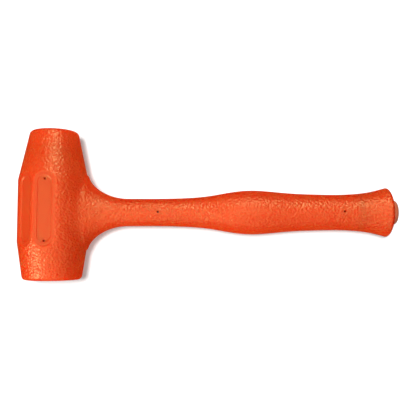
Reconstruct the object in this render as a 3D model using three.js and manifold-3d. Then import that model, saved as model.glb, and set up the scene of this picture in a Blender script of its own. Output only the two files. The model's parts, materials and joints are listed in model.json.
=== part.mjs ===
// Dead blow mallet: a one-piece urethane casting over a steel canister of loose shot and a steel handle core.
//
// The mallet is built in its own frame, with the handle axis along +X, the head axis along Y (+Y towards the
// narrow face) and the two axes crossing at the origin. It is then laid on its side as it rests on a bench,
// on one label flat of the head and the rim of the butt, with the middle of its footprint at the origin.
// All sizes are in millimetres.

import * as THREE from "three";
import { mergeVertices } from "three/addons/utils/BufferGeometryUtils.js";
import Module from "manifold-3d";

const wasm = await Module();
wasm.setup();

// ---------------------------------------------------------------- driving dimensions

const gap = 0.3; // between neighbouring pieces that touch on the real mallet

// Head: a short cylinder between a long taper to the narrow face and a short one to the wide face.
const barrelRadius = 27.8;
const barrelEnds = { narrow: 25.6, wide: -23.7 };
const narrowFace = { y: 66.0, radius: 19.0 };
const wideFace = { y: -54.1, radius: 23.2 };
const faceEdge = 3.3; // rounding of both striking faces' edges

// Label flats: shallow round-ended facets on the nose half of the head, each with a sunk field in its middle.
const flatAngles = [0, 37.5, 142.5, 180]; // degrees from +Z towards the nose
const flat = { distance: 26.5, halfWidth: 8.4, low: -27.2, high: 30.4 }; // distance from the head axis
const field = { distance: 25.9, halfWidth: 5.5, low: -24.0, high: 27.2 };

// Neck: elliptical fillets that sweep from the barrel into the handle, wide in plan, flatter from the side.
// Each fillet has risen by `height` at its `start`, and the neck is never more than `most` from its axis.
const neck = { start: 14, end: 60.9 };
const neckPlan = { start: 26.0, height: 26.8, most: 29.5 };
const neckSide = { start: 8.0, height: 22.4, most: 20.2 };

// Handle outline, [distance from the head axis, radius], from the neck's end to the rim of the butt.
const handleOutline = [
  [60.9, 11.15], [92, 11.2], [107, 11.65], [126, 13.25], [146, 16.6], [160, 17.75], [175, 17.0],
  [194, 15.35], [213, 14.6], [228, 14.35], [243, 14.9], [257.5, 16.75], [269.2, 19.75],
];
const [rimX, rimRadius] = handleOutline.at(-1);
const rim = { x: rimX, radius: rimRadius };
const buttDome = 5.4; // height of the elliptical dome that closes the butt

// Canister of shot, along the head axis.
const canister = { outer: 18, inner: 16.4, low: -40, high: 50 };
const cap = { length: 8, wall: 2 };

// Handle core and what holds it.
const socket = { outer: 8.8, inner: 5.3, end: 38 };
const rod = { radius: 5, start: 18.8, end: 258 };
const rollPin = { x: 30, radius: 2, wall: 0.6, halfLength: 8, slot: 40 };
const washer = { start: 247.3, thickness: 2, outer: 12, inner: 5.4 };
const nut = { start: 249.6, height: 8, acrossFlats: 16, inner: 5.3 };
const plug = {
  start: 259.5, end: 278.1, stem: 9.7, head: 10, headStart: 273.4,
  roll: { start: 274.9, width: 3 }, // of the head's edge
};

// Holes left by the pins that held the steelwork in the middle of the mould.
const mouldPin = { radius: 0.9, headY: [24.8, -23.1], handleX: [85.7, 233.4] };

// Shot: steel balls that lie in rings, layer upon layer, and slide as one charge along the canister.
const ball = { radius: 3, ring: 13.2 };
const layer = { count: 10, pitch: 5.2, outerBalls: 13, innerBalls: 8 };

// ---------------------------------------------------------------- materials

const urethane = new THREE.MeshStandardMaterial({ color: 0xf0552a, roughness: 0.5, metalness: 0 });
const plugUrethane = new THREE.MeshStandardMaterial({ color: 0xc86a48, roughness: 0.4, metalness: 0 });
const tubeSteel = new THREE.MeshStandardMaterial({ color: 0x8d9196, roughness: 0.45, metalness: 1 });
const rodSteel = new THREE.MeshStandardMaterial({ color: 0x7c8085, roughness: 0.5, metalness: 1 });
const platedSteel = new THREE.MeshStandardMaterial({ color: 0xb9b3a2, roughness: 0.35, metalness: 1 });
const shotSteel = new THREE.MeshStandardMaterial({ color: 0x9ea2a6, roughness: 0.25, metalness: 1 });

// ---------------------------------------------------------------- helpers

// A closed three.js geometry as a manifold-3d solid.
function solid(geometry) {
  const bare = geometry.index ? geometry.toNonIndexed() : geometry.clone();
  bare.deleteAttribute("normal");
  bare.deleteAttribute("uv");
  const merged = mergeVertices(bare, 1e-4);
  return new wasm.Manifold(
    new wasm.Mesh({
      numProp: 3,
      vertProperties: merged.attributes.position.array,
      triVerts: new Uint32Array(merged.index.array),
    }),
  );
}

// A manifold-3d solid as a three.js geometry.
function geometryOf(body) {
  const { vertProperties, triVerts } = body.getMesh();
  const geometry = new THREE.BufferGeometry();
  geometry.setAttribute("position", new THREE.BufferAttribute(vertProperties, 3));
  geometry.setIndex(new THREE.BufferAttribute(triVerts, 1));
  return geometry;
}

function join(bodies) {
  return bodies.reduce((whole, body) => whole.add(body));
}

function named(name, geometry, material) {
  const mesh = new THREE.Mesh(geometry, material);
  mesh.name = name;
  return mesh;
}

// An outline with each corner [radius, height, rounding] that has a rounding replaced by a smooth curve.
function rounded(corners, steps = 5) {
  return corners.flatMap(([r, h, rounding = 0], i) => {
    const corner = new THREE.Vector2(r, h);
    if (!rounding) return [corner];
    const side = ([r2, h2]) =>
      new THREE.Vector2(r2, h2).sub(corner).setLength(rounding).add(corner);
    const curve = new THREE.QuadraticBezierCurve(side(corners[i - 1]), corner, side(corners[i + 1]));
    return curve.getPoints(steps);
  });
}

// A solid turned about the Y axis from corners [radius, y, rounding], listed upwards.
function turnedAboutY(corners, segments = 32) {
  return new THREE.LatheGeometry(rounded(corners), segments);
}

// A solid turned about the X axis from corners [radius, x, rounding], listed from the head to the butt.
function turnedAboutX(corners, segments = 24) {
  return turnedAboutY(corners, segments).rotateZ(-Math.PI / 2);
}

// A plain round bar about the X axis.
function barAlongX(radius, start, end, segments = 24) {
  return turnedAboutX([[0, start], [radius, start], [radius, end], [0, end]], segments);
}

// A closed skin over elliptical sections {x, halfWidth, halfHeight} strung along the X axis.
function loft(sections, segments = 32) {
  const positions = [];
  for (const { x, halfWidth, halfHeight } of sections) {
    for (let i = 0; i < segments; i++) {
      const angle = (2 * Math.PI * i) / segments;
      positions.push(x, halfWidth * Math.cos(angle), halfHeight * Math.sin(angle));
    }
  }
  const first = positions.length / 3;
  const last = first + 1;
  positions.push(sections[0].x, 0, 0, sections.at(-1).x, 0, 0);
  const indices = [];
  const lastRing = (sections.length - 1) * segments;
  for (let i = 0; i < segments; i++) {
    const next = (i + 1) % segments;
    indices.push(first, next, i, last, lastRing + i, lastRing + next);
    for (let ring = 0; ring < lastRing; ring += segments) {
      const [a, b, c, d] = [ring + i, ring + next, ring + segments + i, ring + segments + next];
      indices.push(a, b, c, b, d, c);
    }
  }
  const geometry = new THREE.BufferGeometry();
  geometry.setAttribute("position", new THREE.Float32BufferAttribute(positions, 3));
  geometry.setIndex(indices);
  return geometry;
}

// ---------------------------------------------------------------- urethane casting

function barrel() {
  return solid(
    turnedAboutY(
      [
        [0, wideFace.y],
        [wideFace.radius, wideFace.y, faceEdge],
        [barrelRadius, barrelEnds.wide],
        [barrelRadius, barrelEnds.narrow],
        [narrowFace.radius, narrowFace.y, faceEdge],
        [0, narrowFace.y],
      ],
      48,
    ),
  );
}

// Half the neck's size at x, in plan or from the side.
function neckHalf(x, { start, height, most }) {
  const [, neckRadius] = handleOutline[0];
  const reach = Math.min(1, (neck.end - x) / (neck.end - start));
  return Math.min(most, neckRadius + height * (1 - Math.sqrt(1 - reach ** 2)));
}

// Sections of the neck, the handle and the domed butt, starting inside the barrel.
function handleSections() {
  const sections = [];
  const neckSteps = 13;
  for (let i = 0; i < neckSteps; i++) {
    const x = neck.end - (neck.end - neck.start) * Math.cos((i / neckSteps) * (Math.PI / 2));
    sections.push({ x, halfWidth: neckHalf(x, neckPlan), halfHeight: neckHalf(x, neckSide) });
  }

  const outline = new THREE.SplineCurve(handleOutline.map(([x, r]) => new THREE.Vector2(x, r)));
  for (const { x, y: radius } of outline.getSpacedPoints(24)) {
    sections.push({ x, halfWidth: radius, halfHeight: radius });
  }

  const domeSteps = 5;
  for (let i = 1; i < domeSteps; i++) {
    const angle = (i / domeSteps) * (Math.PI / 2);
    const radius = rim.radius * Math.cos(angle);
    sections.push({ x: rim.x + buttDome * Math.sin(angle), halfWidth: radius, halfHeight: radius });
  }
  return sections;
}

// What is cut away above a round-ended area of the head, at some distance from the head axis.
function facet({ distance, halfWidth, low, high }, degrees) {
  const outline = new THREE.Shape();
  outline.absarc(0, high - halfWidth, halfWidth, 0, Math.PI);
  outline.absarc(0, low + halfWidth, halfWidth, Math.PI, 2 * Math.PI);
  const depth = barrelRadius - distance + 1;
  const cut = new THREE.ExtrudeGeometry(outline, { depth, bevelEnabled: false, curveSegments: 8 });
  return solid(cut.translate(0, 0, distance).rotateY(-THREE.MathUtils.degToRad(degrees)));
}

// The holes of the mould's locating pins, in the top and the bottom of the mallet.
function mouldPinHoles() {
  const along = ({ x = 0, y = 0, from, to }) => {
    const hole = new THREE.CylinderGeometry(mouldPin.radius, mouldPin.radius, to - from, 10);
    return hole.rotateX(Math.PI / 2).translate(x, y, (from + to) / 2);
  };
  const pins = [
    ...mouldPin.headY.map((y) => ({ y, from: canister.outer - 1, to: barrelRadius + 1 })),
    ...mouldPin.handleX.map((x) => ({ x, from: rod.radius - 1, to: rim.radius + 1 })),
  ];
  const above = pins.map(along);
  const below = above.map((hole) => hole.clone().rotateX(Math.PI));
  for (const hole of below.slice(0, mouldPin.headY.length)) {
    hole.scale(1, -1, 1); // keeps its place along the head axis, which the turn above reversed
    hole.index.array.reverse();
  }
  return [...above, ...below].map(solid);
}

// The room that the steelwork and the plug take up inside the casting.
function coreCavity() {
  const { outer, low, high } = canister;
  const can = turnedAboutY(
    [[0, low - gap], [outer + gap, low - gap], [outer + gap, high + gap], [0, high + gap]],
  );
  return [
    solid(can),
    solid(barAlongX(socket.outer + gap, outer - 4, socket.end + gap)),
    solid(barAlongX(rod.radius + gap, socket.end, washer.start)),
    solid(barAlongX(washer.outer + gap, washer.start - gap, nut.start)),
    solid(barAlongX(plug.head + gap, nut.start - 0.1, plug.end + 5, 32)),
  ];
}

function casting() {
  const outside = barrel().add(solid(loft(handleSections())));
  const labels = flatAngles.flatMap((degrees) => [facet(flat, degrees), facet(field, degrees)]);
  const cuts = [...labels, ...coreCavity(), ...mouldPinHoles()];
  return named("urethane_casting", geometryOf(outside.subtract(join(cuts))), urethane);
}

// A plug whose flat head, with a rolled edge, stands out of the butt.
function buttPlug() {
  const { start, end, stem, head, headStart, roll } = plug;
  const corners = [[0, start], [stem, start, 0.8], [stem, headStart], [head, headStart]];
  const rollSteps = 5;
  for (let i = 0; i <= rollSteps; i++) {
    const angle = (i / rollSteps) * (Math.PI / 2);
    const radius = head - roll.width * (1 - Math.cos(angle));
    corners.push([radius, roll.start + (end - roll.start) * Math.sin(angle)]);
  }
  corners.push([0, end]);
  return named("butt_plug", turnedAboutX(corners, 32), plugUrethane);
}

// ---------------------------------------------------------------- canister and shot

function canisterTube() {
  const { outer, inner, low, high } = canister;
  const corners = [[inner, low], [outer, low], [outer, high], [inner, high], [inner, low]];
  return named("canister_tube", turnedAboutY(corners), tubeSteel);
}

// A pressed steel cup that closes one end of the canister, its rim flush with the end of the tube.
function canisterCap(name, side) {
  const outer = canister.inner - gap;
  const inner = outer - cap.wall;
  const corners = [
    [0, 0],
    [outer, 0, 1.2],
    [outer, cap.length],
    [inner, cap.length],
    [inner, cap.wall],
    [0, cap.wall],
  ];
  const mesh = named(name, turnedAboutY(corners), platedSteel);
  mesh.position.y = side > 0 ? canister.high - cap.length : canister.low + cap.length;
  if (side < 0) mesh.rotation.x = Math.PI;
  return mesh;
}

// One layer of shot as a single body: a disc scalloped by its outer balls, with the volume of all its balls.
function shotLayer(index) {
  const { pitch, outerBalls, innerBalls } = layer;
  const step = (2 * Math.PI) / outerBalls;
  const outline = new THREE.Shape();
  for (let i = 0; i < outerBalls; i++) {
    const angle = i * step;
    const [x, y] = [ball.ring * Math.cos(angle), ball.ring * Math.sin(angle)];
    outline.absarc(x, y, ball.radius, angle - Math.PI / 2, angle + Math.PI / 2);
  }
  const arcSteps = 3;
  const ballVolume = (4 / 3) * Math.PI * ball.radius ** 3;
  const area = THREE.ShapeUtils.area(outline.getPoints(arcSteps));
  const depth = ((outerBalls + innerBalls) * ballVolume) / area;
  const disc = new THREE.ExtrudeGeometry(outline, { depth, bevelEnabled: false, curveSegments: arcSteps });
  disc.translate(0, 0, -depth / 2).rotateX(Math.PI / 2);

  const number = String(index + 1).padStart(2, "0");
  const mesh = named(`shot_layer_${number}`, disc, shotSteel);
  mesh.position.y = canister.low + cap.length + gap + ball.radius + index * pitch;
  mesh.rotation.y = (index * step) / 2; // each ball lies over the gap between two of the layer below
  return mesh;
}

// ---------------------------------------------------------------- handle core

// A collar saddled on the side of the canister, which the core rod is pinned into.
function coreSocket() {
  const { outer, inner, end } = socket;
  const start = canister.outer - 6;
  const corners = [[inner, start], [outer, start], [outer, end], [inner, end], [inner, start]];
  const collar = turnedAboutX(corners, 32);
  const saddle = new THREE.CylinderGeometry(canister.outer + gap, canister.outer + gap, 60, 32);
  const body = solid(collar).subtract(solid(saddle)).subtract(pinHole());
  return named("core_socket", geometryOf(body), tubeSteel);
}

function pinHole() {
  const radius = rollPin.radius + gap;
  const hole = new THREE.CylinderGeometry(radius, radius, 40, 16);
  return solid(hole.rotateX(Math.PI / 2).translate(rollPin.x, 0, 0));
}

function coreRod() {
  const { radius, start, end } = rod;
  const corners = [[0, start], [radius, start], [radius, end - 1], [radius - 1, end], [0, end]];
  const body = solid(turnedAboutX(corners)).subtract(pinHole());
  return named("core_rod", geometryOf(body), rodSteel);
}

// A slotted spring pin through the socket and the rod.
function coreRollPin() {
  const { x, radius, wall, halfLength, slot } = rollPin;
  const from = THREE.MathUtils.degToRad(slot / 2);
  const to = 2 * Math.PI - from;
  const section = new THREE.Shape();
  section.absarc(0, 0, radius, from, to);
  section.absarc(0, 0, radius - wall, to, from, true);
  const pin = new THREE.ExtrudeGeometry(section, {
    depth: 2 * halfLength,
    bevelEnabled: false,
    curveSegments: 14,
  });
  return named("core_roll_pin", pin.translate(x, 0, -halfLength), platedSteel);
}

function anchorWasher() {
  const { start, thickness, outer, inner } = washer;
  const end = start + thickness - 0.1;
  const ring = turnedAboutX([[inner, start], [outer, start], [outer, end], [inner, end], [inner, start]], 28);
  return named("anchor_washer", ring, platedSteel);
}

function anchorNut() {
  const { start, height, acrossFlats, inner } = nut;
  const acrossCorners = acrossFlats / Math.cos(Math.PI / 6);
  const hexagon = new THREE.CylinderGeometry(acrossCorners / 2, acrossCorners / 2, height, 6);
  const bore = new THREE.CylinderGeometry(inner, inner, height + 2, 24);
  const body = solid(hexagon).subtract(solid(bore));
  const mesh = named("anchor_nut", geometryOf(body), platedSteel);
  mesh.rotation.z = -Math.PI / 2;
  mesh.position.x = start + height / 2;
  return mesh;
}

// ---------------------------------------------------------------- assembly

const mallet = new THREE.Group();
mallet.add(
  casting(),
  buttPlug(),
  canisterTube(),
  canisterCap("canister_cap_narrow", 1),
  canisterCap("canister_cap_wide", -1),
  coreSocket(),
  coreRod(),
  coreRollPin(),
  anchorWasher(),
  anchorNut(),
);

const charge = new THREE.Group();
for (let i = 0; i < layer.count; i++) charge.add(shotLayer(i));
mallet.add(charge);

// Laid down: the edge of a label flat and the rim of the butt both touch the bench.
const flatEdge = Math.sqrt(barrelRadius ** 2 - flat.distance ** 2);
mallet.rotation.y = Math.atan2(flat.distance - rim.radius, rim.x - flatEdge);
const footprint = new THREE.Box3().setFromObject(mallet, true);
const middle = footprint.getCenter(new THREE.Vector3());
mallet.position.set(-middle.x, -middle.y, -footprint.min.z);

const part = new THREE.Group();
part.add(mallet);
export default part;
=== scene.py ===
"""Looks of a dead blow mallet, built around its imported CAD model.

Lengths are in millimetres in the mallet's own frame, where the handle runs along +X, the head along Y
(+Y towards the narrow face) and the two axes cross at the origin. mallet_to_row() takes that frame to the
row frame, in metres, where the mallet lies on its side on the floor.
"""

import json
import math
from itertools import product

import bmesh
import bpy
import numpy as np
from mathutils import Matrix, Vector


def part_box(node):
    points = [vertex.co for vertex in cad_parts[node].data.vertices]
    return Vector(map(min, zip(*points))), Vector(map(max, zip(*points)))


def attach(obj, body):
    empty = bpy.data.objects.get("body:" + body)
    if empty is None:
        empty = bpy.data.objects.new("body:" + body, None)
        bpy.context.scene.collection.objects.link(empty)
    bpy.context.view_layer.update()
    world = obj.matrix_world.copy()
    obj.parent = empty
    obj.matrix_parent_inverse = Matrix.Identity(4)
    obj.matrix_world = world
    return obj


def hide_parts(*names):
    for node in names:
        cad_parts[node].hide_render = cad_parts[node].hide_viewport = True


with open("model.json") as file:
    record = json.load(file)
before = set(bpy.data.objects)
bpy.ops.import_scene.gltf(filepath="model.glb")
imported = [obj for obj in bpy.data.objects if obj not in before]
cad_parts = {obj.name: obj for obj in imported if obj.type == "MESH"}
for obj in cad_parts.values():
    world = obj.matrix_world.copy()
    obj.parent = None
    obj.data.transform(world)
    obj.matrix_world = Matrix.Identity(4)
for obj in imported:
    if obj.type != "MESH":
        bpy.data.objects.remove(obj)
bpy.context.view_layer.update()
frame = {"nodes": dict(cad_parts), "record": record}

MM = 0.001

# ---------------------------------------------------------------- dimensions, in millimetres

# Head: half outline [radius, y] of the convex solid of revolution about Y.
BARREL_RADIUS = 27.78  # just inside the faceted CAD barrel, whose tilt draws its corner in
NARROW_FACE = (19.0, 66.0)
WIDE_FACE = (23.2, -54.1)
BARREL_TOP = 25.6
BARREL_BOTTOM = -23.7
FACE_EDGE = 3.3  # rounding of the striking faces' edges

# Label flats on the nose half of the head, and the sunk fields in their middles.
FLAT_ANGLES = (0, 37.5, 142.5, 180)  # degrees from +Z towards the nose
FLAT = {"distance": 26.5, "half_width": 8.4, "low": -27.2, "high": 30.4}
FIELD = {"distance": 25.9, "half_width": 5.5, "low": -24.0, "high": 27.2}

# Neck: elliptical fillets from the barrel into the handle, wide in plan and flatter from the side.
NECK_END = 60.9
NECK_PLAN = {"start": 26.0, "height": 26.8, "most": 29.5}
NECK_SIDE = {"start": 8.0, "height": 22.4, "most": 20.2}
NECK_BLEND = 3.0  # rounding where the neck meets the barrel
FACET_EDGE = 0.4  # rounding of the label flats' edges

# Handle outline (x, radius) from the neck's end to the rim of the butt, and the dome that closes it.
HANDLE_OUTLINE = (
    (60.9, 11.15), (92, 11.2), (107, 11.65), (126, 13.25), (146, 16.6), (160, 17.75), (175, 17.0),
    (194, 15.35), (213, 14.6), (228, 14.35), (243, 14.9), (257.5, 16.75), (269.2, 19.75),
)
RIM_X, RIM_RADIUS = HANDLE_OUTLINE[-1]
DOME_HEIGHT = 5.4

# Holes and rooms inside the casting.
PIN_RADIUS = 0.9
PIN_HEAD_Y = (24.8, -23.1)
PIN_HANDLE_X = (85.7, 233.4)
GAP = 0.3
CANISTER = {"radius": 18, "low": -40, "high": 50}
SOCKET = {"radius": 8.8, "end": 38}
ROD_RADIUS = 5
WASHER = {"start": 247.3, "radius": 12, "end": 249.6}
PLUG = {"start": 259.5, "stem": 9.7, "radius": 10, "shoulder": 273.4, "end": 278.1}
PLUG_ROLL = {"start": 274.9, "width": 3}  # of the plug's outer edge
PLUG_CHAMFER = 0.6  # of the plug's hidden end

# Shot: rings of balls in each layer, as (ring radius, balls).
BALL_RADIUS = 3
BALL_RINGS = ((13.2, 13), (7.6, 7), (0, 1))
BALL_LIFT = 0.15  # how far a ball settles above or below its layer
BALL_SHARE = 0.99  # of a ball's radius that is drawn, so that neighbours don't cut into each other

MESH_STEP = 0.75  # size of the casting's mesh faces

FLOOR_RADIUS = 500

# Camera: its aim is that far along its own right and its own up from where the two axes cross.
CAMERA_AIM = (125.6, 3.65)
CAMERA_DISTANCE = 455.2
CAMERA_TILT = 0.0659  # radians towards the wide face
CAMERA_LENS = 48.5
CAMERA_SENSOR = 36

# Square area lights: azimuth and elevation in degrees, side in metres, power in watts.
LIGHTS = {
    "far_box": (84, 44, 0.26, 5.2),
    "near_box": (210, 37, 0.3, 6.2),
    "top_box": (0, 90, 0.6, 3.4),
    "low_fill": (268, 32, 0.6, 2.2),
    "right_fill": (330, 40, 0.6, 0.9),
    "floor_lamp": (155, 86, 0.2, 12.5),
}


# ---------------------------------------------------------------- placing


def centre(node):
    low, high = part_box(node)
    return (low + high) / 2


def mallet_to_row():
    """The matrix from the mallet's own frame, in millimetres, to the row frame, in metres."""
    faces = {m["name"]: Vector(m["pos_m"]) for m in frame["record"]["mounts"]}
    origin = faces["narrow_face"] - Vector((0, NARROW_FACE[1] * MM, 0))
    along_handle = (centre("anchor_nut") - origin).normalized()
    across = along_handle.cross(Vector((0, 1, 0)))
    turn = Matrix((along_handle, Vector((0, 1, 0)), across)).transposed().to_4x4()
    return Matrix.Translation(origin) @ turn @ Matrix.Scale(MM, 4)


TO_ROW = mallet_to_row()


def add_piece(name, mesh, body, nodes, material):
    """Adds a mesh made in the mallet's own frame as a piece that stands for those CAD nodes."""
    mesh.transform(TO_ROW)
    mesh.materials.clear()
    mesh.materials.append(material)
    piece = bpy.data.objects.new(name, mesh)
    bpy.context.scene.collection.objects.link(piece)
    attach(piece, body)
    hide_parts(*nodes)
    return piece


# ---------------------------------------------------------------- the casting's surface as a field


def smooth_min(a, b, blend):
    share = np.clip(0.5 + 0.5 * (b - a) / blend, 0, 1)
    return b + (a - b) * share - blend * share * (1 - share)


def smooth_max(a, b, blend):
    return -smooth_min(-a, -b, blend)


def barrel_outline():
    """The head's half outline, drawn in by the rounding of its edges, as [radius, y] corners."""
    corners = [
        (0, WIDE_FACE[1]), WIDE_FACE, (BARREL_RADIUS, BARREL_BOTTOM), (BARREL_RADIUS, BARREL_TOP),
        NARROW_FACE, (0, NARROW_FACE[1]),
    ]
    sides = []
    for (r0, y0), (r1, y1) in zip(corners, corners[1:]):
        length = math.hypot(r1 - r0, y1 - y0)
        normal = ((y1 - y0) / length, (r0 - r1) / length)
        sides.append((*normal, normal[0] * r0 + normal[1] * y0 - FACE_EDGE))
    drawn_in = [(0, WIDE_FACE[1] + FACE_EDGE)]
    for (a, b, c), (d, e, f) in zip(sides, sides[1:]):
        drawn_in.append(tuple(np.linalg.solve([[a, b], [d, e]], [c, f])))
    return drawn_in + [(0, NARROW_FACE[1] - FACE_EDGE)]


def barrel_distance(x, y, z):
    """Distance to the head: to the drawn-in outline, less the rounding of its edges."""
    radius = np.hypot(x, z)
    nearest = np.full_like(radius, 1e9)
    inside = np.ones(radius.shape, bool)
    outline = barrel_outline()
    for (r0, y0), (r1, y1) in zip(outline, outline[1:]):
        along = np.array((r1 - r0, y1 - y0))
        share = np.clip(((radius - r0) * along[0] + (y - y0) * along[1]) / (along @ along), 0, 1)
        nearest = np.minimum(nearest, np.hypot(radius - r0 - share * along[0], y - y0 - share * along[1]))
        inside &= (radius - r0) * along[1] - (y - y0) * along[0] <= 0
    return np.where(inside, -nearest, nearest) - FACE_EDGE


def natural_spline(points, steps):
    """A smooth curve y(x) through the points, as arrays of evenly spaced x and their y."""
    px, py = np.array(points, float).T
    h = np.diff(px)
    slopes = np.diff(py) / h
    n = len(px)
    system, right = np.eye(n), np.zeros(n)
    for i in range(1, n - 1):
        system[i, i - 1 : i + 2] = h[i - 1], 2 * (h[i - 1] + h[i]), h[i]
        right[i] = 6 * (slopes[i] - slopes[i - 1])
    bend = np.linalg.solve(system, right)
    x = np.linspace(px[0], px[-1], steps)
    i = np.clip(np.searchsorted(px, x) - 1, 0, n - 2)
    t = x - px[i]
    slope = slopes[i] - h[i] * (2 * bend[i] + bend[i + 1]) / 6
    return x, py[i] + t * (slope + t * (bend[i] / 2 + t * (bend[i + 1] - bend[i]) / (6 * h[i])))


def neck_half(x, start, height, most):
    """Half the neck's size at x: an elliptical fillet from `start` that stops growing at `most`."""
    reach = np.clip((NECK_END - x) / (NECK_END - start), 0, 1)
    return np.minimum(most, HANDLE_OUTLINE[0][1] + height * (1 - np.sqrt(1 - reach**2)))


def handle_sections():
    """Tables of x, half width and half height along the neck and the handle."""
    x, radius = natural_spline(HANDLE_OUTLINE, 2000)
    neck_x = np.arange(0, NECK_END, 0.1)
    width = np.concatenate((neck_half(neck_x, **NECK_PLAN), radius))
    height = np.concatenate((neck_half(neck_x, **NECK_SIDE), radius))
    return np.concatenate((neck_x, x)), width, height


SECTION_X, SECTION_WIDTH, SECTION_HEIGHT = handle_sections()
WIDTH_SLOPE = np.gradient(SECTION_WIDTH, SECTION_X)
HEIGHT_SLOPE = np.gradient(SECTION_HEIGHT, SECTION_X)


def handle_distance(x, y, z):
    """Roughly the distance to the neck and handle, which have elliptical sections."""
    width, height = np.interp(x, SECTION_X, SECTION_WIDTH), np.interp(x, SECTION_X, SECTION_HEIGHT)
    ratio = np.maximum(np.hypot(y / width, z / height), 1e-3)
    along_y, along_z = y / width**2 / ratio, z / height**2 / ratio
    along_x = -(
        along_y * y / width * np.interp(x, SECTION_X, WIDTH_SLOPE)
        + along_z * z / height * np.interp(x, SECTION_X, HEIGHT_SLOPE)
    )
    around = (ratio - 1) / np.sqrt(along_x**2 + along_y**2 + along_z**2 + 1e-6)
    past_rim = np.maximum(x - RIM_X, 0) / DOME_HEIGHT
    dome = (np.hypot(past_rim, np.hypot(y, z) / RIM_RADIUS) - 1) * DOME_HEIGHT
    whole = np.where(x > RIM_X, dome, around)
    return np.maximum(whole, BARREL_RADIUS / 2 - x)


def stadium_distance(across, along, half_width, low, high):
    nearest = np.clip(along, low + half_width, high - half_width)
    return np.hypot(across, along - nearest) - half_width


def facet_distance(x, y, z, degrees, distance, half_width, low, high):
    """Distance to the space above a round-ended area of the head, which is cut away."""
    turn = math.radians(degrees)
    out = z * math.cos(turn) - x * math.sin(turn)
    across = x * math.cos(turn) + z * math.sin(turn)
    return smooth_max(stadium_distance(across, y, half_width, low, high), distance - out, FACET_EDGE)


def casting_field(points):
    """Below 0 inside the casting's outer skin, above 0 outside it."""
    x, y, z = points.T
    field = smooth_min(barrel_distance(x, y, z), handle_distance(x, y, z), NECK_BLEND)
    for degrees in FLAT_ANGLES:
        for area in (FLAT, FIELD):
            field = smooth_max(field, -facet_distance(x, y, z, degrees, **area), FACET_EDGE)
    return field


# ---------------------------------------------------------------- mesh of the field


def surface_cells(field, low, counts, step):
    """Grid cells that the surface passes through: their middles, and the quads that join them."""
    inside = np.empty(counts, bool)
    y, z = (low[a] + step * np.arange(counts[a]) for a in (1, 2))
    grid_y, grid_z = np.meshgrid(y, z, indexing="ij")
    for i in range(counts[0]):
        x = np.full(grid_y.size, low[0] + step * i)
        inside[i] = (field(np.stack((x, grid_y.ravel(), grid_z.ravel()), 1)) < 0).reshape(counts[1:])
    corners = [
        inside[i : counts[0] - 1 + i, j : counts[1] - 1 + j, k : counts[2] - 1 + k]
        for i, j, k in product((0, 1), repeat=3)
    ]
    filled = np.sum(corners, axis=0, dtype=np.uint8)
    crossed = (filled > 0) & (filled < 8)
    index = np.full(crossed.shape, -1)
    index[crossed] = np.arange(crossed.sum())
    vertices = low + step * (np.argwhere(crossed) + 0.5)

    quads = []
    for axis in range(3):
        near, far = np.moveaxis(inside, axis, 0)[:-1], np.moveaxis(inside, axis, 0)[1:]
        cells = np.moveaxis(index, axis, 0)
        for entering in (False, True):
            i, j, k = np.nonzero((near != far) & (far == entering))
            ring = [cells[i, j - 1, k - 1], cells[i, j, k - 1], cells[i, j, k], cells[i, j - 1, k]]
            flip = entering != (axis == 1)  # moving the axis to the front turns Y's neighbours round
            quads.append(np.stack(ring[::-1] if flip else ring, 1))
    return vertices, np.concatenate(quads)


def onto_surface(field, points, rounds=3):
    """Moves points along the field's slope until they lie on the surface."""
    nudge = 0.01
    for _ in range(rounds):
        value = field(points)
        slope = np.stack(
            [(field(points + nudge * axis) - value) / nudge for axis in np.eye(3)], 1
        )
        steepness = np.maximum((slope**2).sum(1), 0.05)
        points = points - np.clip(value / steepness, -1, 1)[:, None] * slope
    return points


def relaxed(vertices, quads):
    """Each vertex moved to the middle of its neighbours."""
    edges = np.concatenate([quads[:, [a, (a + 1) % 4]] for a in range(4)])
    total = np.zeros_like(vertices)
    for axis in range(3):
        total[:, axis] = np.bincount(edges[:, 0], vertices[edges[:, 1], axis], len(vertices))
    count = np.bincount(edges[:, 0], minlength=len(vertices))
    return total / count[:, None]


def casting_skin():
    """The casting's outer skin as a mesh."""
    margin = 2
    low = np.array((-BARREL_RADIUS - margin, WIDE_FACE[1] - margin, -BARREL_RADIUS - margin))
    high = np.array((RIM_X + DOME_HEIGHT + margin, NARROW_FACE[1] + margin, BARREL_RADIUS + margin))
    counts = np.ceil((high - low) / MESH_STEP).astype(int) + 1
    vertices, quads = surface_cells(casting_field, low, counts, MESH_STEP)
    vertices = onto_surface(casting_field, vertices)
    for _ in range(3):
        vertices = onto_surface(casting_field, relaxed(vertices, quads), rounds=2)
    mesh = bpy.data.meshes.new("urethane_skin")
    mesh.from_pydata(vertices.tolist(), [], quads.tolist())
    mesh.shade_smooth()
    return mesh


# ---------------------------------------------------------------- turned solids


def turned(name, outline, segments=96, axis="x"):
    """A closed solid turned about the X or Y axis from (radius, place) corners."""
    shape = bmesh.new()
    corners = [shape.verts.new((place, radius, 0) if axis == "x" else (radius, place, 0))
               for radius, place in outline]
    edges = [shape.edges.new(pair) for pair in zip(corners, corners[1:])]
    bmesh.ops.spin(
        shape, geom=corners + edges, cent=(0, 0, 0), axis=(1, 0, 0) if axis == "x" else (0, 1, 0),
        angle=2 * math.pi, steps=segments, use_merge=True,
    )
    bmesh.ops.remove_doubles(shape, verts=shape.verts, dist=1e-4)
    bmesh.ops.recalc_face_normals(shape, faces=shape.faces)
    mesh = bpy.data.meshes.new(name)
    shape.to_mesh(mesh)
    shape.free()
    return mesh


def cylinder(name, radius, start, end, axis="x", segments=96):
    return turned(name, [(0, start), (radius, start), (radius, end), (0, end)], segments, axis)


def shape_smooth(mesh, degrees=35):
    mesh.shade_smooth()
    mesh.set_sharp_from_angle(angle=math.radians(degrees))


# ---------------------------------------------------------------- the casting


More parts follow.
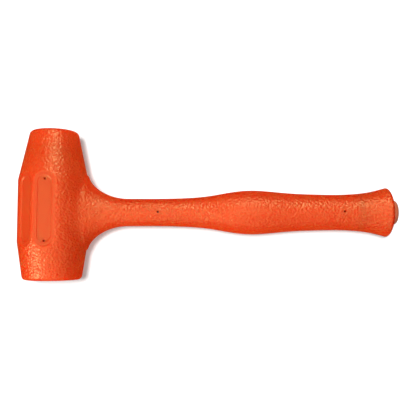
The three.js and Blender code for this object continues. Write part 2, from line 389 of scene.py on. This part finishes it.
def pin_holes():
    """Cutters for the small holes that the mould's locating pins leave, above and below."""
    places = [(0, y, CANISTER["radius"] - 1) for y in PIN_HEAD_Y]
    places += [(x, 0, ROD_RADIUS - 1) for x in PIN_HANDLE_X]
    for (x, y, start), side in product(places, (1, -1)):
        hole = cylinder("pin_hole", PIN_RADIUS, start, BARREL_RADIUS + 1, segments=24)
        hole.transform(Matrix.Translation((x, y, 0)) @ Matrix.Rotation(-side * math.pi / 2, 4, "Y"))
        yield hole


def core_rooms():
    """Cutters for the room that the steelwork and the plug take up."""
    yield cylinder("can", CANISTER["radius"] + GAP, CANISTER["low"] - GAP, CANISTER["high"] + GAP, "y")
    yield cylinder("socket", SOCKET["radius"] + GAP, CANISTER["radius"] - 4, SOCKET["end"] + GAP)
    yield cylinder("rod", ROD_RADIUS + GAP, SOCKET["end"], WASHER["start"])
    yield cylinder("washer", WASHER["radius"] + GAP, WASHER["start"] - GAP, WASHER["end"])
    yield cylinder("plug", PLUG["radius"] + GAP, WASHER["end"] - 0.1, PLUG["end"] + 5)


def cut(mesh, cutters):
    """The mesh with the cutters taken away."""
    piece = bpy.data.objects.new("cut", mesh)
    bpy.context.scene.collection.objects.link(piece)
    tools = []
    for cutter in cutters:
        tool = bpy.data.objects.new("cutter", cutter)
        bpy.context.scene.collection.objects.link(tool)
        tools.append(tool)
        step = piece.modifiers.new("cut", "BOOLEAN")
        step.operation, step.solver, step.object = "DIFFERENCE", "MANIFOLD", tool
    depsgraph = bpy.context.evaluated_depsgraph_get()
    result = bpy.data.meshes.new_from_object(piece.evaluated_get(depsgraph))
    for used in [piece, *tools]:
        bpy.data.objects.remove(used)
    return result


def add_casting(material):
    mesh = cut(casting_skin(), [*core_rooms(), *pin_holes()])
    mesh.name = "urethane_casting_skin"
    shape_smooth(mesh, 50)
    mark_labels(mesh)
    return add_piece("casting", mesh, "mallet_body", ["urethane_casting"], material)


def mark_labels(mesh):
    """Writes how smooth the surface is: 1 on the label flats, 0 where the mould's grain is."""
    points = np.empty(len(mesh.vertices) * 3)
    mesh.vertices.foreach_get("co", points)
    x, y, z = points.reshape(-1, 3).T
    smooth = np.zeros(len(x))
    for degrees in FLAT_ANGLES:
        turn = math.radians(degrees)
        out = z * math.cos(turn) - x * math.sin(turn)
        across = x * math.cos(turn) + z * math.sin(turn)
        edge = stadium_distance(across, y, FLAT["half_width"], FLAT["low"], FLAT["high"])
        on_flat = (out > 0) & (out < FLAT["distance"] + 0.5)
        smooth = np.maximum(smooth, np.where(on_flat, np.clip(0.5 - edge, 0, 1), 0))
    layer = mesh.attributes.new("label", "FLOAT", "POINT")
    layer.data.foreach_set("value", smooth.astype(np.float32))


# ---------------------------------------------------------------- the butt plug and the shot


def add_plug(material):
    """A smooth plug whose flat head, with a rolled edge, stands out of the butt."""
    outline = [
        (0, PLUG["start"]),
        (PLUG["stem"] - PLUG_CHAMFER, PLUG["start"]),
        (PLUG["stem"], PLUG["start"] + PLUG_CHAMFER),
        (PLUG["stem"], PLUG["shoulder"]),
        (PLUG["radius"], PLUG["shoulder"]),
    ]
    steps = 12
    for i in range(steps + 1):
        angle = math.pi / 2 * i / steps
        radius = PLUG["radius"] - PLUG_ROLL["width"] * (1 - math.cos(angle))
        outline.append((radius, PLUG_ROLL["start"] + (PLUG["end"] - PLUG_ROLL["start"]) * math.sin(angle)))
    outline.append((0, PLUG["end"]))
    mesh = turned("butt_plug_head", outline)
    shape_smooth(mesh)
    add_piece("plug", mesh, "mallet_body", ["butt_plug"], material)


def ball_centres(turn):
    """Places of one layer's balls about the canister's axis."""
    for ring_radius, count in BALL_RINGS:
        for i in range(count):
            angle = turn + 2 * math.pi * i / count
            yield ring_radius * math.sin(angle), ring_radius * math.cos(angle)


def add_shot(material):
    """Loose balls in place of each layer of the shot, each a little off its ring as they settle."""
    chance = np.random.default_rng(7)
    to_mallet = TO_ROW.inverted()
    layers = sorted(node for node in frame["nodes"] if node.startswith("shot_layer"))
    step = 2 * math.pi / BALL_RINGS[0][1]
    for number, node in enumerate(layers):
        height = (to_mallet @ centre(node)).y
        shape = bmesh.new()
        for x, z in ball_centres(number * step / 2):
            lift = chance.uniform(-BALL_LIFT, BALL_LIFT)
            place = Matrix.Translation((x, height + lift, z))
            bmesh.ops.create_icosphere(
                shape, subdivisions=3, radius=BALL_RADIUS * BALL_SHARE, matrix=place
            )
        mesh = bpy.data.meshes.new(node + "_balls")
        shape.to_mesh(mesh)
        shape.free()
        mesh.shade_smooth()
        add_piece(node.replace("layer", "balls"), mesh, "shot_charge", [node], material)


# ---------------------------------------------------------------- materials


class Nodes:
    """A material's node tree, with short calls for the nodes that the materials here are made of."""

    def __init__(self, name):
        self.material = bpy.data.materials.new(name)
        self.material.use_nodes = True
        self.tree = self.material.node_tree
        self.shader = self.tree.nodes["Principled BSDF"]
        place = self.add("ShaderNodeTexCoord")
        self.place = place.outputs["Object"]

    def add(self, kind, inputs=None, **settings):
        """A node with its settings, its inputs linked from sockets or set to values."""
        node = self.tree.nodes.new(kind)
        for setting, value in settings.items():
            setattr(node, setting, value)
        for socket, value in (inputs or {}).items():
            if isinstance(value, bpy.types.NodeSocket):
                self.tree.links.new(value, node.inputs[socket])
            else:
                node.inputs[socket].default_value = value
        return node

    def noise(self, size, detail=3, roughness=0.5, distortion=0.0, place=None):
        """Noise from 0 to 1 whose blotches are about `size` millimetres across."""
        inputs = {
            "Vector": place or self.place, "Scale": 1 / (size * MM), "Detail": detail,
            "Roughness": roughness, "Distortion": distortion,
        }
        return self.add("ShaderNodeTexNoise", inputs).outputs["Fac"]

    def cells(self, size, feature="SMOOTH_F1", place=None, **inputs):
        """Rounded cells about `size` millimetres across: 0 in their middles."""
        sockets = {"Vector": place or self.place, "Scale": 1 / (size * MM), **inputs}
        return self.add("ShaderNodeTexVoronoi", sockets, feature=feature).outputs["Distance"]

    def math(self, operation, a, b=0.0):
        return self.add("ShaderNodeMath", {0: a, 1: b}, operation=operation).outputs[0]

    def spread(self, value, low, high, to_low=0.0, to_high=1.0):
        """The value's range from low to high, stretched to another range."""
        inputs = {"Value": value, "From Min": low, "From Max": high, "To Min": to_low, "To Max": to_high}
        return self.add("ShaderNodeMapRange", inputs).outputs["Result"]

    def mix(self, share, a, b):
        """A colour from a at share 0 to b at share 1."""
        node = self.add("ShaderNodeMix", data_type="RGBA")
        for index, value in ((0, share), (6, a), (7, b)):
            if isinstance(value, bpy.types.NodeSocket):
                self.tree.links.new(value, node.inputs[index])
            else:
                node.inputs[index].default_value = value
        return node.outputs[2]

    def stretched(self, x, y, z):
        """The place, with each axis's texture stretched by that much."""
        return self.add(
            "ShaderNodeMapping", {"Vector": self.place, "Scale": (1 / x, 1 / y, 1 / z)}
        ).outputs["Vector"]

    def bump(self, height, depth, strength=1.0, under=None):
        """A bump whose height runs over `depth` millimetres, on top of another one."""
        inputs = {"Height": height, "Distance": depth * MM, "Strength": strength}
        if under is not None:
            inputs["Normal"] = under
        return self.add("ShaderNodeBump", inputs).outputs["Normal"]

    def finish(self, **inputs):
        """Sets or links the shader's own sockets, with spaces in their names as underscores."""
        for name, value in inputs.items():
            socket = self.shader.inputs[name.replace("_", " ")]
            if isinstance(value, bpy.types.NodeSocket):
                self.tree.links.new(value, socket)
            else:
                socket.default_value = value
        return self.material


def orange_urethane():
    """Cast urethane: a pebbled mould grain everywhere but on the smooth label flats."""
    nodes = Nodes("orange_urethane")
    label = nodes.add("ShaderNodeAttribute", attribute_name="label").outputs["Fac"]
    grain_share = nodes.math("SUBTRACT", 1.0, label)

    pebbles = nodes.cells(1.8, Smoothness=0.4)
    blotches = nodes.noise(1.8, detail=0.6, roughness=0.5)
    pebble_height = nodes.math("SUBTRACT", blotches, nodes.math("MULTIPLY", pebbles, 0.8))
    grain_height = nodes.math("MULTIPLY", pebble_height, grain_share)
    fine = nodes.noise(0.35, detail=2)
    flow = nodes.noise(2.2, detail=2, place=nodes.stretched(1, 6, 1))
    under = nodes.bump(flow, 0.05, strength=0.25)
    under = nodes.bump(fine, 0.01, strength=0.3, under=under)
    normal = nodes.bump(grain_height, 0.47, strength=1.0, under=under)

    warm = nodes.mix(nodes.noise(38, detail=2), (0.76, 0.062, 0.009, 1), (0.80, 0.074, 0.012, 1))
    # Painted shade: the pebbles' pits are painted darker and redder, as shade falling between the pebbles.
    pit_shade = nodes.spread(pebble_height, -0.25, 0.05, 0.3, 0.0)
    grain_with_pit_shade = nodes.mix(nodes.math("MULTIPLY", pit_shade, grain_share), warm, (0.7, 0.034, 0.012, 1))
    colour = nodes.mix(label, grain_with_pit_shade, (0.7, 0.058, 0.009, 1))
    worn = nodes.spread(nodes.noise(14, detail=6, roughness=0.7), 0.3, 0.7, -0.06, 0.08)
    roughness = nodes.math("ADD", nodes.spread(label, 0, 1, 0.36, 0.45), worn)
    gloss = {"IOR": 1.48, "Specular_IOR_Level": 0.8, "Specular_Tint": (1.0, 0.85, 0.35, 1)}
    glow = {"Subsurface_Weight": 1.0, "Subsurface_Radius": (1.0, 0.08, 0.04), "Subsurface_Scale": 0.014}
    return nodes.finish(Base_Color=colour, Roughness=roughness, Normal=normal, **gloss, **glow)


def tan_urethane():
    """The plug's smooth urethane, poured later and unpainted, with a faint swirl."""
    nodes = Nodes("tan_urethane")
    swirl = nodes.noise(5, detail=4, distortion=1.5)
    colour = nodes.mix(swirl, (0.56, 0.13, 0.055, 1), (0.7, 0.19, 0.085, 1))
    normal = nodes.bump(nodes.noise(0.8, detail=3), 0.05, strength=0.5)
    roughness = nodes.spread(nodes.noise(3, detail=3), 0.3, 0.7, 0.34, 0.46)
    return nodes.finish(Base_Color=colour, Roughness=roughness, Normal=normal, IOR=1.48)


def steel(name, dark, light, shine, lines):
    """Steel with drawing or turning lines `lines` millimetres apart along the handle, and faint oil marks."""
    nodes = Nodes(name)
    streaks = nodes.noise(lines, detail=3, place=nodes.stretched(20, 1, 1))
    stains = nodes.noise(9, detail=5, roughness=0.65)
    colour = nodes.mix(stains, dark, light)
    roughness = nodes.spread(streaks, 0.3, 0.7, shine, shine + 0.18)
    normal = nodes.bump(streaks, 0.03, strength=0.4)
    return nodes.finish(Base_Color=colour, Roughness=roughness, Normal=normal, Metallic=1.0)


def shot_steel():
    """Balls burnished by rolling over each other, with small dents."""
    nodes = Nodes("shot_steel")
    colour = nodes.mix(nodes.noise(4, detail=4), (0.36, 0.37, 0.38, 1), (0.55, 0.56, 0.57, 1))
    dents = nodes.spread(nodes.cells(1.1, "F1"), 0.0, 0.35)
    normal = nodes.bump(dents, 0.03, strength=0.5)
    roughness = nodes.spread(nodes.noise(0.8, detail=4), 0.3, 0.7, 0.16, 0.34)
    return nodes.finish(Base_Color=colour, Roughness=roughness, Normal=normal, Metallic=1.0)


def finish_steelwork():
    """Gives the steel pieces inside the casting their finish, slot by slot."""
    finishes = {
        "tube_steel": steel("tube_steel", (0.2, 0.21, 0.22, 1), (0.34, 0.35, 0.36, 1), 0.34, 0.4),
        "rod_steel": steel("rod_steel", (0.03, 0.03, 0.032, 1), (0.06, 0.06, 0.063, 1), 0.46, 0.3),
        "plated_steel": steel("plated_steel", (0.44, 0.42, 0.34, 1), (0.6, 0.58, 0.5, 1), 0.26, 0.6),
    }
    for row in frame["record"]["subparts"]:
        if row["material_slot"] in finishes:
            node = frame["nodes"][row["node"]]
            node.data.materials.clear()
            node.data.materials.append(finishes[row["material_slot"]])


# ---------------------------------------------------------------- stage


def add_floor():
    bpy.ops.mesh.primitive_circle_add(vertices=96, radius=FLOOR_RADIUS * MM, fill_type="NGON")
    floor = bpy.context.object
    floor.name = "floor"
    nodes = Nodes("pale_floor")
    colour = nodes.mix(nodes.noise(60, detail=3), (0.84, 0.84, 0.84, 1), (0.87, 0.87, 0.87, 1))
    # The table's own faintly cool light offsets the orange that the mallet throws into its shadow.
    glow = {"Emission_Color": (0.8, 1, 1, 1), "Emission_Strength": 0.3}
    floor.data.materials.append(nodes.finish(Base_Color=colour, Roughness=0.9, **glow))
    floor.visible_glossy = False


def add_light(name, azimuth, elevation, size, power):
    """A square area light a metre from the mallet and facing it. Azimuth 0 is +X and 90 is +Y, in degrees."""
    lamp = bpy.data.lights.new(name, "AREA")
    lamp.shape = "SQUARE"
    lamp.size = size
    lamp.energy = power
    light = bpy.data.objects.new(name, lamp)
    bpy.context.scene.collection.objects.link(light)
    around, up = math.radians(azimuth), math.radians(elevation)
    away = Vector((math.cos(up) * math.cos(around), math.cos(up) * math.sin(around), math.sin(up)))
    light.location = away
    light.rotation_euler = away.to_track_quat("Z", "Y").to_euler()


def add_lights():
    """Soft boxes beyond the narrow face and beside the nose, three weaker ones, and a lamp for the floor."""
    for name, setting in LIGHTS.items():
        add_light(name, *setting)
    world = bpy.data.worlds.new("studio")
    world.use_nodes = True
    world.node_tree.nodes["Background"].inputs["Color"].default_value = (1, 1, 1, 1)
    world.cycles_visibility.diffuse = False
    world.cycles_visibility.glossy = False
    bpy.context.scene.world = world


def light_floor_apart():
    """Keeps the boxes off the floor and its lamp off the mallet, so that one short soft shadow falls."""
    floor = bpy.data.objects["floor"]
    for light in [o for o in bpy.data.objects if o.type == "LIGHT"]:
        receivers = bpy.data.collections.new(light.name + "_receivers")
        receivers.objects.link(floor)
        light.light_linking.receiver_collection = receivers
        if light.name != "floor_lamp":
            receivers.collection_objects[0].light_linking.link_state = "EXCLUDE"


def add_camera():
    """Almost straight above, tilted so that it sees a little of the wide face's side."""
    aim_right, aim_up = CAMERA_AIM
    back = Vector((0, -math.sin(CAMERA_TILT), math.cos(CAMERA_TILT)))
    up = Vector((0, math.cos(CAMERA_TILT), math.sin(CAMERA_TILT)))
    right = up.cross(back)
    lens = bpy.data.cameras.new("camera")
    lens.sensor_width = CAMERA_SENSOR
    lens.lens = CAMERA_LENS
    camera = bpy.data.objects.new("camera", lens)
    bpy.context.scene.collection.objects.link(camera)
    turn = Matrix((right, up, back)).transposed().to_4x4()
    location = right * aim_right + up * aim_up + back * CAMERA_DISTANCE
    pose = TO_ROW @ Matrix.Translation(location) @ turn
    camera.location = pose.to_translation()
    camera.rotation_euler = pose.to_euler()
    bpy.context.scene.camera = camera


add_camera()
add_floor()
add_lights()
light_floor_apart()
bpy.context.scene.view_settings.view_transform = "Standard"

add_casting(orange_urethane())
add_plug(tan_urethane())
add_shot(shot_steel())
finish_steelwork()
